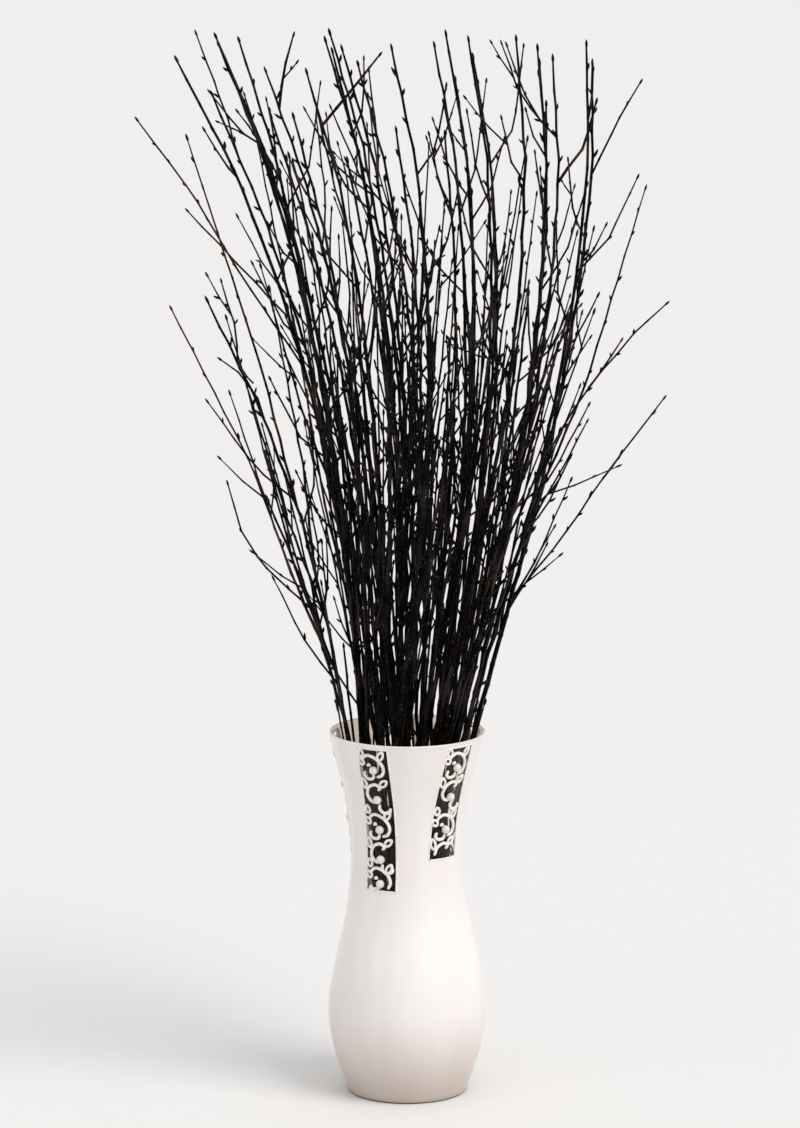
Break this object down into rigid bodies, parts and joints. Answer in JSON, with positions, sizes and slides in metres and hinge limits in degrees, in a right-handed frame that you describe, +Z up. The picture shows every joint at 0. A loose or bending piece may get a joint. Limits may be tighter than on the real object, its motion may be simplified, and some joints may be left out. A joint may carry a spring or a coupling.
{
  "type": "vase of birch branches",
  "caption": "Waisted glass vase with a milk-white coat and scrollwork windows, holding a fanned bundle of black dried birch branches with buds.",
  "frame": {"origin": "centre of the vase's flat foot, on the surface that it stands on", "axes": "+Z up along the vase's axis, -Y towards the viewer of the front, +X to the viewer's right"},
  "size_m": [0.4204, 0.3303, 0.8688],
  "materials": {
    "coated_glass": "glossy milk-white coat on clear glass",
    "relief": "satin white relief paste with pearls",
    "bark": "near-black dried bark with a slight gloss"
  },
  "bodies": {
    "root": {"vase": "coated_glass", "scrollwork_1": "relief", "scrollwork_2": "relief", "scrollwork_3": "relief", "scrollwork_4": "relief", "scrollwork_5": "relief", "branch_01": "bark", "branch_02": "bark", "branch_03": "bark", "branch_04": "bark", "branch_05": "bark", "branch_06": "bark", "branch_07": "bark", "branch_08": "bark", "branch_09": "bark", "branch_10": "bark", "branch_11": "bark", "branch_12": "bark", "branch_13": "bark", "branch_14": "bark", "branch_15": "bark", "branch_16": "bark", "branch_17": "bark", "branch_18": "bark", "branch_19": "bark", "branch_20": "bark", "branch_21": "bark", "branch_22": "bark", "branch_23": "bark", "branch_24": "bark", "branch_25": "bark", "branch_26": "bark", "branch_27": "bark", "branch_28": "bark", "branch_29": "bark", "branch_30": "bark", "branch_31": "bark", "branch_32": "bark", "branch_33": "bark", "branch_34": "bark", "branch_35": "bark", "branch_36": "bark", "branch_37": "bark", "branch_38": "bark", "branch_39": "bark", "branch_40": "bark", "branch_41": "bark", "branch_42": "bark", "branch_43": "bark", "branch_44": "bark", "branch_45": "bark", "branch_46": "bark"}
  },
  "joints": []
}
